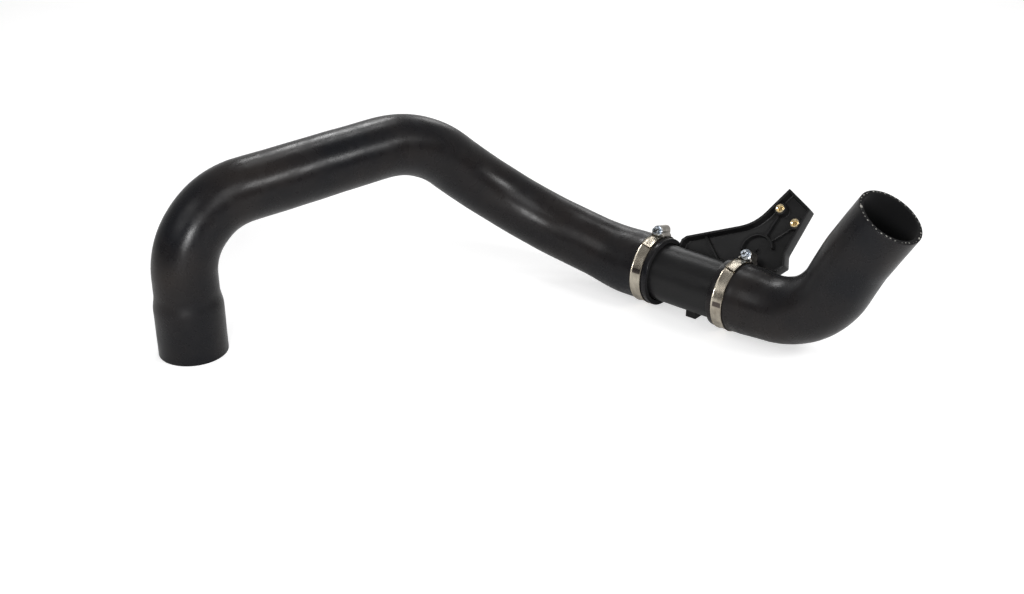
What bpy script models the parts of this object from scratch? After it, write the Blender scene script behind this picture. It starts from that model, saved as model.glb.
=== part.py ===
# Intercooler pipe: two rubber charge-air hoses on a moulded connector, held by two worm-drive clamps.
# Units are metres and +Z is up. The connector's axis runs along +X, and the origin is the middle
# of the connector's foot, on the surface that the pipe lies on.

import math

import bpy
import bmesh
from mathutils import Matrix, Vector

# Fits
GAP = 0.0003                  # space between pieces that touch
LIE_GAP = 0.0001              # the clamp bands' height over the surface that the foot stands on

# Connector tube
TUBE_OD = 0.0586
TUBE_WALL = 0.003
TUBE_SHOWING = 0.0712         # tube left bare between the two hose ends
FOOT_SETBACK = 0.040          # from the inlet hose's end to the foot's middle
SPIGOT_LENGTH = 0.038         # how far each end of the tube goes into its hose
BEAD_LAND = 0.005             # full-size land at the spigot's tip
GROOVE_WIDTH = 0.004
GROOVE_DEPTH = 0.0008
TIP_CHAMFER = 0.0015

# Foot under the tube
FOOT_LENGTH = 0.012
FOOT_WIDTH = 0.020

# Hoses
HOSE_WALL = 0.0045
RUN_OD = 0.062                # long hose, away from its cuffs
FREE_CUFF_OD = 0.0666
FREE_CUFF_LENGTH = 0.050
FREE_CUFF_TAPER = 0.011
JOINT_CUFF_LENGTH = 0.0395    # full-size stretch on the spigot
INLET_TAPER = 0.024
ELBOW_OD = 0.065
OUTLET_OD = 0.0646
ELBOW_TAPER = 0.014
OUTLET_TAPER = 0.030

# Route of the long hose: the corners of its centreline, and the bends that round them
FREE_CUFF_X = -0.331
FREE_CUFF_Y = -0.3744
RISE_HEIGHT = 0.1468
TOP_CORNER = (-0.2719, -0.1151, 0.1599)
LOW_CORNER = (-0.2294, -0.0230, 0.0673)
JOIN_CORNER_X = -0.0937
RISE_BEND = 0.071
TOP_BEND = 0.1085
LOW_BEND = 0.1687
JOIN_BEND = 0.110

# Route of the elbow
ELBOW_CORNER_X = 0.132
LEG_CORNER = (0.1663, 0.0, 0.1125)
OUTLET_CENTRE = (0.1943, 0.0, 0.1603)
ELBOW_BEND = 0.0768
LEG_BEND = 0.0949

# Clamps
BAND_WIDTH = 0.012
BAND_THICKNESS = 0.0008
CLAMP_SETBACK = 0.0125        # from a hose's end to the middle of its band
BAND_START = -10.0            # degrees from under the housing, where the inner end lies
BAND_RAMP_FROM = 300.0
BAND_RAMP_TO = 345.0
BAND_STEP = 5.0
INLET_LEAN = 15.0             # degrees that each clamp's housing is turned back from the top
OUTLET_LEAN = 33.0
INLET_TAIL = 45.0             # degrees of band past the housing
OUTLET_TAIL = 57.0
TAIL_SLANT = 18.0             # slant of the cut end, in degrees
HOUSING_LENGTH = 0.015
HOUSING_SHEET = 0.001
WORM_SPACE = 0.0044           # inner radius of the housing's arch
WORM_RISE = 0.0046            # screw's axis over the tail's outer face
SHOULDER_DROP = 0.0019        # arch's springing under the screw's axis
SHOULDER_RISE = 0.0005        # housing's shoulder over the tail's outer face
SCREW_CORE = 0.0034
SCREW_FLANGE = 0.0053
FLANGE_THICKNESS = 0.001
HEX_FLATS = 0.0070
HEX_HEIGHT = 0.0050
SLOT_WIDTH = 0.0012
SLOT_DEPTH = 0.0014
CROSS_LENGTH = 0.0044

# Bracket, in its own plane: x along the tube, v up the plate from the tube's axis, d out of the plate
PLATE_LEAN = 40.0             # degrees that the plate leans back
PLATE_BACK = -0.015
PLATE_FRONT = -0.002
FLOOR_THICKNESS = 0.003
RIM_WIDTH = 0.0024
ROOT_V = 0.020                # the plate's root, inside the tube's wall
SIDE_GAP = 0.001              # from the plate's root to each hose end
HOSE_CLEARANCE = 0.001        # from a hose cuff to the plate's lower edge
LEFT_SHOULDER_V = 0.0385
LEFT_TOP = (-0.0354, 0.0433, 0.002)
CROOK = (0.0301, 0.0763, 0.045)
PAD_TOP = (0.0504, 0.1199, 0.0006)
PAD_CORNER = (0.0798, 0.1054, 0.0018)
WAIST = (0.0740, 0.0558, 0.008)
HEEL = (0.0787, 0.0437, 0.002)
HEEL_TOE_X = 0.0720
UPPER_BOSS = (0.0492, 0.0979)
LOWER_BOSS = (0.0702, 0.0876)
BOSS_RADIUS = 0.0064
RING_CENTRE = (0.0412, 0.0517)
RING_RADIUS = 0.0175
RING_WALL = 0.0024
RING_FRONT = -0.006
RING_OPEN_TILT = 17.0         # degrees, the line over which the ring wall stands
RING_OPEN_RISE = 0.0013       # that line over the ring's centre
DRAIN_RADIUS = 0.0022
RIB_THICKNESS = 0.0025
ROOT_RIB_TOP = (-0.0175, 0.0500)
ROOT_RIB_ANGLE = -40.0
RIB_FRONT = -0.007
INLAY = 0.0006                # how far joined shapes run into each other

# Brass inserts
INSERT_RADIUS = 0.0040
INSERT_FLANGE = 0.0045
INSERT_FLANGE_THICKNESS = 0.0008
INSERT_BORE = 0.0026
INSERT_LENGTH = 0.009

# Sizes that follow from the ones above
CUFF_BORE = TUBE_OD / 2 + GAP
CUFF_RADIUS = CUFF_BORE + HOSE_WALL
BAND_INNER = CUFF_RADIUS + GAP
BAND_OUTER = BAND_INNER + BAND_THICKNESS
TAIL_OUTER = BAND_OUTER + GAP + BAND_THICKNESS
AXIS_HEIGHT = BAND_OUTER + LIE_GAP
INLET_END_X = -FOOT_SETBACK
OUTLET_END_X = INLET_END_X + TUBE_SHOWING
INLET_CLAMP_X = INLET_END_X - CLAMP_SETBACK
OUTLET_CLAMP_X = OUTLET_END_X + CLAMP_SETBACK
SCREW_RADIUS = TAIL_OUTER + WORM_RISE
PLATE_LOWER_V = CUFF_RADIUS + HOSE_CLEARANCE

# Fineness of the round shapes
HOSE_BEVEL_STEPS = 14
BEND_STEP = math.radians(8)
TURN_STEPS = 48
SMALL_TURN_STEPS = 24
FILLET_STEP = math.radians(15)
ARCH_STEPS = 6
SHARP_ANGLE = math.radians(35)
LEAST_TURN = math.radians(0.5)    # a corner that turns less stays a plain point
LEAST_SPACING = 0.002             # between the rings of a hose
MERGE = 0.00001


def clear_scene():
    for obj in list(bpy.data.objects):
        bpy.data.objects.remove(obj, do_unlink=True)


def new_collection(name):
    collection = bpy.data.collections.new(name)
    bpy.context.scene.collection.children.link(collection)
    return collection


def new_material(name, colour, roughness, metallic):
    material = bpy.data.materials.new(name)
    material.use_nodes = True
    shader = material.node_tree.nodes["Principled BSDF"]
    shader.inputs["Base Color"].default_value = (*colour, 1.0)
    shader.inputs["Roughness"].default_value = roughness
    shader.inputs["Metallic"].default_value = metallic
    material.diffuse_color = (*colour, 1.0)
    return material


def new_object(name, data, collection, material=None, parent=None):
    obj = bpy.data.objects.new(name, data)
    collection.objects.link(obj)
    if material:
        data.materials.append(material)
    if parent:
        obj.parent = parent
    return obj


def new_empty(name, collection, matrix):
    empty = bpy.data.objects.new(name, None)
    empty.empty_display_size = 0.02
    collection.objects.link(empty)
    empty.matrix_world = matrix
    return empty


def as_cutter(obj):
    obj.hide_render = True
    obj.display_type = "WIRE"
    return obj


def join_shape(obj, other, operation):
    modifier = obj.modifiers.new(other.name, "BOOLEAN")
    modifier.operation = operation
    modifier.solver = "EXACT"
    modifier.object = other


def smooth_round(mesh):
    mesh.shade_smooth()
    mesh.set_sharp_from_angle(angle=SHARP_ANGLE)


def mesh_from_curve(curve, name):
    """Turn a curve into a mesh whose caps are welded to its sides."""
    source = bpy.data.objects.new(name + "_curve", curve)
    bpy.context.scene.collection.objects.link(source)
    graph = bpy.context.evaluated_depsgraph_get()
    mesh = bpy.data.meshes.new_from_object(source.evaluated_get(graph))
    bpy.data.objects.remove(source)
    mesh.name = name
    shape = bmesh.new()
    shape.from_mesh(mesh)
    bmesh.ops.remove_doubles(shape, verts=shape.verts, dist=MERGE)
    shape.to_mesh(mesh)
    shape.free()
    return mesh


def rounded_outline(corners):
    """Points of a closed outline whose corners (x, y, radius) are rounded by arcs."""
    points = []
    count = len(corners)
    for index, (x, y, radius) in enumerate(corners):
        corner = Vector((x, y))
        before = (Vector(corners[index - 1][:2]) - corner).normalized()
        after = (Vector(corners[(index + 1) % count][:2]) - corner).normalized()
        turn = math.pi - before.angle(after)
        if radius <= 0 or turn < LEAST_TURN:
            points.append(corner)
            continue
        reach = radius * math.tan(turn / 2)
        centre = corner + (before + after).normalized() * radius / math.cos(turn / 2)
        first = corner + before * reach - centre
        side = 1 if before.cross(after) < 0 else -1
        steps = max(2, math.ceil(turn / FILLET_STEP))
        for step in range(steps + 1):
            swing = Matrix.Rotation(side * turn * step / steps, 2)
            points.append(centre + swing @ first)
    return points


def inset_corners(corners, distance):
    """Move each side of an outline that runs clockwise inwards by a distance."""
    moved = []
    count = len(corners)
    for index, (x, y, radius) in enumerate(corners):
        corner = Vector((x, y))
        arrive = (corner - Vector(corners[index - 1][:2])).normalized()
        leave = (Vector(corners[(index + 1) % count][:2]) - corner).normalized()
        normal_in = Vector((arrive.y, -arrive.x))
        normal_out = Vector((leave.y, -leave.x))
        bisector = normal_in + normal_out
        place = corner + bisector * (distance / (bisector.dot(normal_in)))
        outwards = arrive.cross(leave) > 0
        new_radius = radius + distance if outwards else max(radius - distance, 0)
        moved.append((place.x, place.y, new_radius if radius > 0 else 0))
    return moved


def outline_mesh(name, outlines, low, high):
    """A flat shape cut by its closed outlines, from height low to height high."""
    curve = bpy.data.curves.new(name, "CURVE")
    curve.dimensions = "2D"
    curve.fill_mode = "BOTH"
    curve.extrude = (high - low) / 2
    for outline in outlines:
        spline = curve.splines.new("POLY")
        spline.points.add(len(outline) - 1)
        for point, place in zip(spline.points, outline):
            point.co = (place[0], place[1], 0, 1)
        spline.use_cyclic_u = True
    mesh = mesh_from_curve(curve, name)
    mesh.transform(Matrix.Translation((0, 0, (high + low) / 2)))
    return mesh


def turned_object(name, profile, steps, collection, material=None, parent=None):
    """A profile of (radius, height) points, from top to bottom, turned about local Z."""
    mesh = bpy.data.meshes.new(name)
    shape = bmesh.new()
    corners = [shape.verts.new((radius, 0, height)) for radius, height in profile]
    for first, second in zip(corners, corners[1:]):
        shape.edges.new((first, second))
    shape.to_mesh(mesh)
    shape.free()
    obj = new_object(name, mesh, collection, material, parent)
    screw = obj.modifiers.new("turn", "SCREW")
    screw.steps = steps
    screw.render_steps = steps
    screw.use_merge_vertices = True
    screw.merge_threshold = MERGE
    screw.use_smooth_shade = False
    return obj


def cylinder(name, radius, low, high, steps, collection, parent=None):
    """A plain cylinder along local Z, from height low to height high."""
    mesh = bpy.data.meshes.new(name)
    shape = bmesh.new()
    bmesh.ops.create_cone(shape, cap_ends=True, segments=steps, radius1=radius, radius2=radius,
                          depth=high - low, matrix=Matrix.Translation((0, 0, (high + low) / 2)))
    shape.to_mesh(mesh)
    shape.free()
    return new_object(name, mesh, collection, parent=parent)


def box(name, low, high, collection, parent=None):
    """A box between two opposite corners."""
    low = Vector(low)
    size = Vector(high) - low
    mesh = bpy.data.meshes.new(name)
    shape = bmesh.new()
    place = Matrix.Translation(low + size / 2) @ Matrix.Diagonal((*size, 1))
    bmesh.ops.create_cube(shape, size=1, matrix=place)
    shape.to_mesh(mesh)
    shape.free()
    return new_object(name, mesh, collection, parent=parent)


def centreline(corners, bends):
    """Stretches of a route with rounded corners, as a list of (length, function of distance)."""
    stretches = []
    start = corners[0]
    for corner, after, bend in zip(corners[1:], corners[2:], bends):
        arrive = (corner - start).normalized()
        leave = (after - corner).normalized()
        turn = arrive.angle(leave)
        reach = bend * math.tan(turn / 2)
        arc_start = corner - arrive * reach
        stretches.append(straight(start, arc_start))
        inward = (leave - arrive * arrive.dot(leave)).normalized()
        stretches.append(arc(arc_start, arrive, inward, bend, turn))
        start = corner + leave * reach
    stretches.append(straight(start, corners[-1]))
    return stretches


def straight(start, end):
    length = (end - start).length
    return length, length, lambda distance: start.lerp(end, distance / length)


def arc(start, arrive, inward, bend, turn):
    def place(distance):
        angle = distance / bend
        return start + arrive * bend * math.sin(angle) + inward * bend * (1 - math.cos(angle))
    length = bend * turn
    return length, length / math.ceil(turn / BEND_STEP), place


def route_points(stretches, stations):
    """Distances and places along a route, with a point at each arc step and at each station."""
    total = sum(stretch[0] for stretch in stretches)
    stops = [min(max(station, 0), total) for station, _ in stations]
    points = []
    passed = 0
    for length, step, place in stretches:
        count = max(1, round(length / step))
        marks = [length * index / count for index in range(count)]
        marks += [stop - passed for stop in stops if 0 < stop - passed < length]
        kept = []
        for mark in sorted(marks):
            if not kept or mark - kept[-1] > LEAST_SPACING:
                kept.append(mark)
        points += [(passed + mark, place(mark)) for mark in kept]
        passed += length
    points.append((total, stretches[-1][2](stretches[-1][0])))
    return points


def radius_along(distance, stations):
    """Outer radius at a distance, changing evenly from one station to the next."""
    for (start, from_radius), (end, to_radius) in zip(stations, stations[1:]):
        if distance <= end:
            share = max(distance - start, 0) / max(end - start, MERGE)
            return from_radius + (to_radius - from_radius) * share
    return stations[-1][1]


def hose_object(name, corners, bends, stations, collection, material):
    """A hose of one wall thickness whose outer radius follows its stations."""
    curve = bpy.data.curves.new(name, "CURVE")
    curve.dimensions = "3D"
    curve.bevel_depth = CUFF_RADIUS
    curve.bevel_resolution = HOSE_BEVEL_STEPS
    curve.use_fill_caps = False
    points = route_points(centreline(corners, bends), stations)
    spline = curve.splines.new("POLY")
    spline.points.add(len(points) - 1)
    for point, (distance, place) in zip(spline.points, points):
        point.co = (*place, 1)
        point.radius = radius_along(distance, stations) / CUFF_RADIUS
    mesh = mesh_from_curve(curve, name)
    obj = new_object(name, mesh, collection, material)
    wall = obj.modifiers.new("wall", "SOLIDIFY")
    wall.thickness = HOSE_WALL
    wall.offset = -1
    smooth_round(mesh)
    return obj


def route_length(corners, bends):
    return sum(stretch[0] for stretch in centreline(corners, bends))


def make_long_hose(collection, material):
    corners = [Vector((FREE_CUFF_X, FREE_CUFF_Y, 0)),
               Vector((FREE_CUFF_X, FREE_CUFF_Y, RISE_HEIGHT)),
               Vector(TOP_CORNER),
               Vector(LOW_CORNER),
               Vector((JOIN_CORNER_X, 0, AXIS_HEIGHT)),
               Vector((INLET_END_X, 0, AXIS_HEIGHT))]
    bends = [RISE_BEND, TOP_BEND, LOW_BEND, JOIN_BEND]
    total = route_length(corners, bends)
    cuff_start = total - JOINT_CUFF_LENGTH
    stations = [(0, FREE_CUFF_OD / 2),
                (FREE_CUFF_LENGTH, FREE_CUFF_OD / 2),
                (FREE_CUFF_LENGTH + FREE_CUFF_TAPER, RUN_OD / 2),
                (cuff_start - INLET_TAPER, RUN_OD / 2),
                (cuff_start, CUFF_RADIUS),
                (total, CUFF_RADIUS)]
    return hose_object("long_hose", corners, bends, stations, collection, material)


def make_elbow_hose(collection, material):
    corners = [Vector((OUTLET_END_X, 0, AXIS_HEIGHT)),
               Vector((ELBOW_CORNER_X, 0, AXIS_HEIGHT)),
               Vector(LEG_CORNER),
               Vector(OUTLET_CENTRE)]
    bends = [ELBOW_BEND, LEG_BEND]
    total = route_length(corners, bends)
    stations = [(0, CUFF_RADIUS),
                (JOINT_CUFF_LENGTH, CUFF_RADIUS),
                (JOINT_CUFF_LENGTH + ELBOW_TAPER, ELBOW_OD / 2),
                (total - OUTLET_TAPER, ELBOW_OD / 2),
                (total, OUTLET_OD / 2)]
    return hose_object("elbow_hose", corners, bends, stations, collection, material)


def spigot_profile(tip, root):
    """Half of the tube's outside, from a spigot's tip to its root, as (radius, height)."""
    radius = TUBE_OD / 2
    way = 1 if root > tip else -1
    land_start = tip + way * TIP_CHAMFER
    groove_start = land_start + way * BEAD_LAND
    groove_end = groove_start + way * GROOVE_WIDTH
    return [(radius - TIP_CHAMFER, tip),
            (radius, land_start),
            (radius, groove_start),
            (radius - GROOVE_DEPTH, groove_start + way * GROOVE_DEPTH),
            (radius - GROOVE_DEPTH, groove_end - way * GROOVE_DEPTH),
            (radius, groove_end)]


def plate_corners(root_v, lower_v):
    """The bracket's outline, clockwise from its lower left."""
    left = INLET_END_X + SIDE_GAP
    right = OUTLET_END_X - SIDE_GAP
    return [(left, root_v, 0),
            (left, LEFT_SHOULDER_V, 0),
            LEFT_TOP,
            CROOK,
            PAD_TOP,
            PAD_CORNER,
            WAIST,
            HEEL,
            (HEEL_TOE_X, lower_v, 0),
            (right, lower_v, 0),
            (right, root_v, 0)]


def rib_between(name, start, end, front, collection, parent):
    """A rib on the bracket's floor between two points of its plane."""
    start = Vector(start)
    end = Vector(end)
    along = end - start
    rib = box(name, (0, -RIB_THICKNESS / 2, PLATE_BACK + FLOOR_THICKNESS - INLAY),
              (along.length, RIB_THICKNESS / 2, front), collection, parent)
    rib.rotation_euler = (0, 0, math.atan2(along.y, along.x))
    rib.location = (start.x, start.y, 0)
    return as_cutter(rib)


def make_connector(collection, cutters, material, plate_frame):
    half_in = INLET_END_X - SPIGOT_LENGTH
    half_out = OUTLET_END_X + SPIGOT_LENGTH
    tip_radius = TUBE_OD / 2 - TIP_CHAMFER
    profile = [(0, half_out)] + spigot_profile(half_out, half_in)
    profile += list(reversed(spigot_profile(half_in, half_out))) + [(0, half_in)]
    connector = turned_object("connector_pipe", profile, TURN_STEPS, collection, material)
    connector.matrix_world = Matrix.Translation((0, 0, AXIS_HEIGHT)) @ Matrix.Rotation(math.pi / 2, 4, "Y")

    floor_front = PLATE_BACK + FLOOR_THICKNESS
    block_mesh = outline_mesh("bracket_block", [rounded_outline(plate_corners(ROOT_V, PLATE_LOWER_V))],
                              PLATE_BACK, PLATE_FRONT)
    block = as_cutter(new_object("bracket_block", block_mesh, cutters, parent=plate_frame))
    open_corners = plate_corners(ROOT_V - 2 * RIM_WIDTH, PLATE_LOWER_V - 3 * RIM_WIDTH)
    hollow_mesh = outline_mesh("bracket_hollow", [rounded_outline(inset_corners(open_corners, RIM_WIDTH))],
                               floor_front, PLATE_FRONT + RIM_WIDTH)
    hollow = as_cutter(new_object("bracket_hollow", hollow_mesh, cutters, parent=plate_frame))
    join_shape(block, hollow, "DIFFERENCE")

    ring_outer = cylinder("ring_wall", RING_RADIUS, floor_front - INLAY, RING_FRONT, TURN_STEPS,
                          cutters, plate_frame)
    ring_inner = cylinder("ring_space", RING_RADIUS - RING_WALL, floor_front - 2 * INLAY,
                          RING_FRONT + INLAY, TURN_STEPS, cutters, plate_frame)
    keep_off = box("ring_foot", (-RING_RADIUS - INLAY, -2 * RING_RADIUS, 2 * PLATE_BACK),
                   (RING_RADIUS + INLAY, RING_OPEN_RISE, 0), cutters, plate_frame)
    keep_off.rotation_euler = (0, 0, math.radians(RING_OPEN_TILT))
    for shape in (ring_outer, ring_inner, keep_off):
        shape.location = (*RING_CENTRE, 0)
        as_cutter(shape)
    join_shape(ring_outer, ring_inner, "DIFFERENCE")
    join_shape(ring_outer, keep_off, "DIFFERENCE")
    join_shape(block, ring_outer, "UNION")

    boss_front = PLATE_FRONT - INSERT_FLANGE_THICKNESS - GAP
    ring_centre = Vector(RING_CENTRE)
    for label, centre in (("upper", UPPER_BOSS), ("lower", LOWER_BOSS)):
        towards = (ring_centre - Vector(centre)).normalized()
        rib_end = ring_centre - towards * (RING_RADIUS - RING_WALL / 2)
        rib = rib_between(label + "_boss_rib", centre, rib_end, RIB_FRONT, cutters, plate_frame)
        join_shape(block, rib, "UNION")
        boss = cylinder(label + "_boss", BOSS_RADIUS, PLATE_BACK + INLAY, boss_front,
                        SMALL_TURN_STEPS, cutters, plate_frame)
        boss.location = (*centre, 0)
        join_shape(block, as_cutter(boss), "UNION")

    rib_foot_v = TUBE_OD / 2 - 2 * RIM_WIDTH
    rib_drop = (ROOT_RIB_TOP[1] - rib_foot_v) / math.tan(math.radians(-ROOT_RIB_ANGLE))
    rib = rib_between("root_rib", ROOT_RIB_TOP, (ROOT_RIB_TOP[0] + rib_drop, rib_foot_v),
                      RIB_FRONT, cutters, plate_frame)
    join_shape(block, rib, "UNION")

    foot = box("foot_block", (-FOOT_LENGTH / 2, -FOOT_WIDTH / 2, 0),
               (FOOT_LENGTH / 2, FOOT_WIDTH / 2, AXIS_HEIGHT - TUBE_OD / 2 + TUBE_WALL / 2), cutters)
    bore = cylinder("tube_bore", TUBE_OD / 2 - TUBE_WALL, half_in - TUBE_WALL, half_out + TUBE_WALL,
                    TURN_STEPS, cutters)
    bore.matrix_world = connector.matrix_world
    join_shape(connector, block, "UNION")
    join_shape(connector, as_cutter(foot), "UNION")
    join_shape(connector, as_cutter(bore), "DIFFERENCE")
    for label, centre in (("upper", UPPER_BOSS), ("lower", LOWER_BOSS)):
        hole = cylinder(label + "_insert_hole", INSERT_RADIUS + GAP, PLATE_BACK - INLAY,
                        PLATE_FRONT + INLAY, SMALL_TURN_STEPS, cutters, plate_frame)
        hole.location = (*centre, 0)
        join_shape(connector, as_cutter(hole), "DIFFERENCE")
    drain = cylinder("drain_hole", DRAIN_RADIUS, PLATE_BACK - INLAY, PLATE_FRONT,
                     SMALL_TURN_STEPS, cutters, plate_frame)
    drain.location = (*RING_CENTRE, 0)
    join_shape(connector, as_cutter(drain), "DIFFERENCE")
    return connector


def make_insert(name, centre, collection, material, plate_frame):
    top = PLATE_FRONT
    under_flange = top - INSERT_FLANGE_THICKNESS
    foot = under_flange - INSERT_LENGTH
    profile = [(INSERT_BORE, top),
               (INSERT_FLANGE, top),
               (INSERT_FLANGE, under_flange),
               (INSERT_RADIUS, under_flange),
               (INSERT_RADIUS, foot),
               (INSERT_BORE, foot),
               (INSERT_BORE, top)]
    insert = turned_object(name, profile, SMALL_TURN_STEPS, collection, material, plate_frame)
    insert.location = (*centre, 0)
    return insert


def band_points(tail):
    """The strip's middle line: once round, up over its own start, and on as the tail."""
    inner = BAND_INNER + BAND_THICKNESS / 2
    lift = TAIL_OUTER - BAND_OUTER
    last = 360 + tail
    count = round((last - BAND_START) / BAND_STEP)
    points = []
    for index in range(count + 1):
        angle = BAND_START + (last - BAND_START) * index / count
        share = min(max((angle - BAND_RAMP_FROM) / (BAND_RAMP_TO - BAND_RAMP_FROM), 0), 1)
        radius = inner + lift * share * share * (3 - 2 * share)
        turn = math.radians(angle)
        points.append((-radius * math.sin(turn), radius * math.cos(turn)))
    return points


def make_band(name, tail, collection, cutters, material, parent):
    curve = bpy.data.curves.new(name, "CURVE")
    curve.dimensions = "2D"
    curve.fill_mode = "NONE"
    curve.extrude = BAND_WIDTH / 2
    points = band_points(tail)
    spline = curve.splines.new("POLY")
    spline.points.add(len(points) - 1)
    for point, place in zip(spline.points, points):
        point.co = (*place, 0, 1)
    mesh = mesh_from_curve(curve, name)
    band = new_object(name, mesh, collection, material, parent)
    band.matrix_local = Matrix(((0, 0, 1, 0), (1, 0, 0, 0), (0, 1, 0, 0), (0, 0, 0, 1)))
    sheet = band.modifiers.new("sheet", "SOLIDIFY")
    sheet.thickness = BAND_THICKNESS
    sheet.offset = 0
    smooth_round(mesh)

    reach = BAND_WIDTH * math.tan(math.radians(TAIL_SLANT))
    knife = box(name + "_tail_cut", (-BAND_WIDTH, -2 * BAND_WIDTH, -GAP / 2),
                (BAND_WIDTH, 0, BAND_WIDTH), cutters, parent)
    past = math.radians(tail) - reach / 2 / TAIL_OUTER
    knife.matrix_local = (Matrix.Rotation(past, 4, "X")
                          @ Matrix.Translation((0, 0, BAND_OUTER + GAP))
                          @ Matrix.Rotation(math.radians(-TAIL_SLANT), 4, "Z"))
    join_shape(band, as_cutter(knife), "DIFFERENCE")
    return band


def make_housing(name, collection, material, parent):
    """A pressed arch over the screw, with a leg down each side of the band."""
    leg_foot = BAND_INNER + GAP / 2
    side = BAND_WIDTH / 2 + GAP
    shoulder = TAIL_OUTER + SHOULDER_RISE
    spring = SCREW_RADIUS - SHOULDER_DROP

    def half(extra):
        radius = WORM_SPACE + extra
        arch = [(side + extra, leg_foot),
                (side + extra, shoulder + extra / 2),
                (radius, spring)]
        for step in range(1, ARCH_STEPS + 1):
            turn = math.pi / 2 * step / ARCH_STEPS
            arch.append((radius * math.cos(turn), SCREW_RADIUS + radius * math.sin(turn)))
        return arch

    outer = half(HOUSING_SHEET)
    inner = half(0)
    right = outer + [(-x, z) for x, z in reversed(outer[:-1])]
    left = inner + [(-x, z) for x, z in reversed(inner[:-1])]
    outline = right + list(reversed(left))
    mesh = outline_mesh(name, [outline], -HOUSING_LENGTH / 2, HOUSING_LENGTH / 2)
    housing = new_object(name, mesh, collection, material, parent)
    housing.rotation_euler = (math.pi / 2, 0, 0)
    smooth_round(mesh)
    return housing


def make_screw(name, collection, cutters, material, parent):
    """The worm screw, with its axis on local Z and its head up."""
    flange_low = HOUSING_LENGTH / 2 + GAP
    flange_high = flange_low + FLANGE_THICKNESS
    head_high = flange_high + HEX_HEIGHT
    profile = [(0, flange_high),
               (SCREW_FLANGE, flange_high),
               (SCREW_FLANGE, flange_low),
               (SCREW_CORE, flange_low),
               (SCREW_CORE, -HOUSING_LENGTH / 2),
               (0, -HOUSING_LENGTH / 2)]
    screw = turned_object(name, profile, SMALL_TURN_STEPS, collection, material, parent)
    screw.location = (0, 0, SCREW_RADIUS)
    screw.rotation_euler = (math.pi / 2, 0, 0)
    hexagon = cylinder(name + "_hexagon", HEX_FLATS / math.sqrt(3), flange_high - INLAY, head_high,
                       6, cutters, screw)
    slot = box(name + "_slot", (-HEX_FLATS, -SLOT_WIDTH / 2, head_high - SLOT_DEPTH),
               (HEX_FLATS, SLOT_WIDTH / 2, head_high + INLAY), cutters, screw)
    cross = box(name + "_cross", (-SLOT_WIDTH / 2, -CROSS_LENGTH / 2, head_high - SLOT_DEPTH - INLAY),
                (SLOT_WIDTH / 2, CROSS_LENGTH / 2, head_high + 2 * INLAY), cutters, screw)
    join_shape(screw, as_cutter(hexagon), "UNION")
    join_shape(screw, as_cutter(slot), "DIFFERENCE")
    join_shape(screw, as_cutter(cross), "DIFFERENCE")
    return screw


def make_clamp(label, centre_x, lean, tail, collection, cutters, materials):
    """One worm-drive clamp, in a frame whose Z points to the middle of its housing."""
    place = Matrix.Translation((centre_x, 0, AXIS_HEIGHT)) @ Matrix.Rotation(math.radians(-lean), 4, "X")
    frame = new_empty(label + "_frame", collection, place)
    make_band(label + "_band", tail, collection, cutters, materials["band"], frame)
    make_housing(label + "_housing", collection, materials["housing"], frame)
    make_screw(label + "_screw", collection, cutters, materials["screw"], frame)


def build():
    clear_scene()
    parts = new_collection("intercooler_pipe")
    cutters = new_collection("cutters")
    plastic = new_material("black_plastic", (0.018, 0.018, 0.019), 0.42, 0.0)
    hose_rubber = new_material("hose_rubber", (0.022, 0.022, 0.024), 0.55, 0.0)
    elbow_rubber = new_material("elbow_rubber", (0.024, 0.024, 0.026), 0.5, 0.0)
    brass = new_material("brass", (0.78, 0.56, 0.24), 0.3, 1.0)
    clamp_materials = {"band": new_material("stainless_band", (0.62, 0.59, 0.54), 0.28, 1.0),
                       "housing": new_material("pressed_steel", (0.58, 0.56, 0.52), 0.35, 1.0),
                       "screw": new_material("zinc_plated_steel", (0.66, 0.70, 0.74), 0.22, 1.0)}

    make_long_hose(parts, hose_rubber)
    make_elbow_hose(parts, elbow_rubber)
    lean = math.radians(PLATE_LEAN)
    plate_axes = Matrix(((1, 0, 0, 0),
                         (0, math.sin(lean), -math.cos(lean), 0),
                         (0, math.cos(lean), math.sin(lean), AXIS_HEIGHT),
                         (0, 0, 0, 1)))
    plate_frame = new_empty("bracket_frame", parts, plate_axes)
    bpy.context.view_layer.update()
    make_connector(parts, cutters, plastic, plate_frame)
    make_insert("insert_upper", UPPER_BOSS, parts, brass, plate_frame)
    make_insert("insert_lower", LOWER_BOSS, parts, brass, plate_frame)
    make_clamp("inlet_clamp", INLET_CLAMP_X, INLET_LEAN, INLET_TAIL, parts, cutters, clamp_materials)
    make_clamp("outlet_clamp", OUTLET_CLAMP_X, OUTLET_LEAN, OUTLET_TAIL, parts, cutters, clamp_materials)
    bpy.context.view_layer.update()


build()
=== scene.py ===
# Intercooler pipe: the fine surfaces and finishes of its hoses, connector, inserts and clamps.
import math

import bmesh
import bpy
import numpy as np
from mathutils import Matrix, Vector


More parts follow.
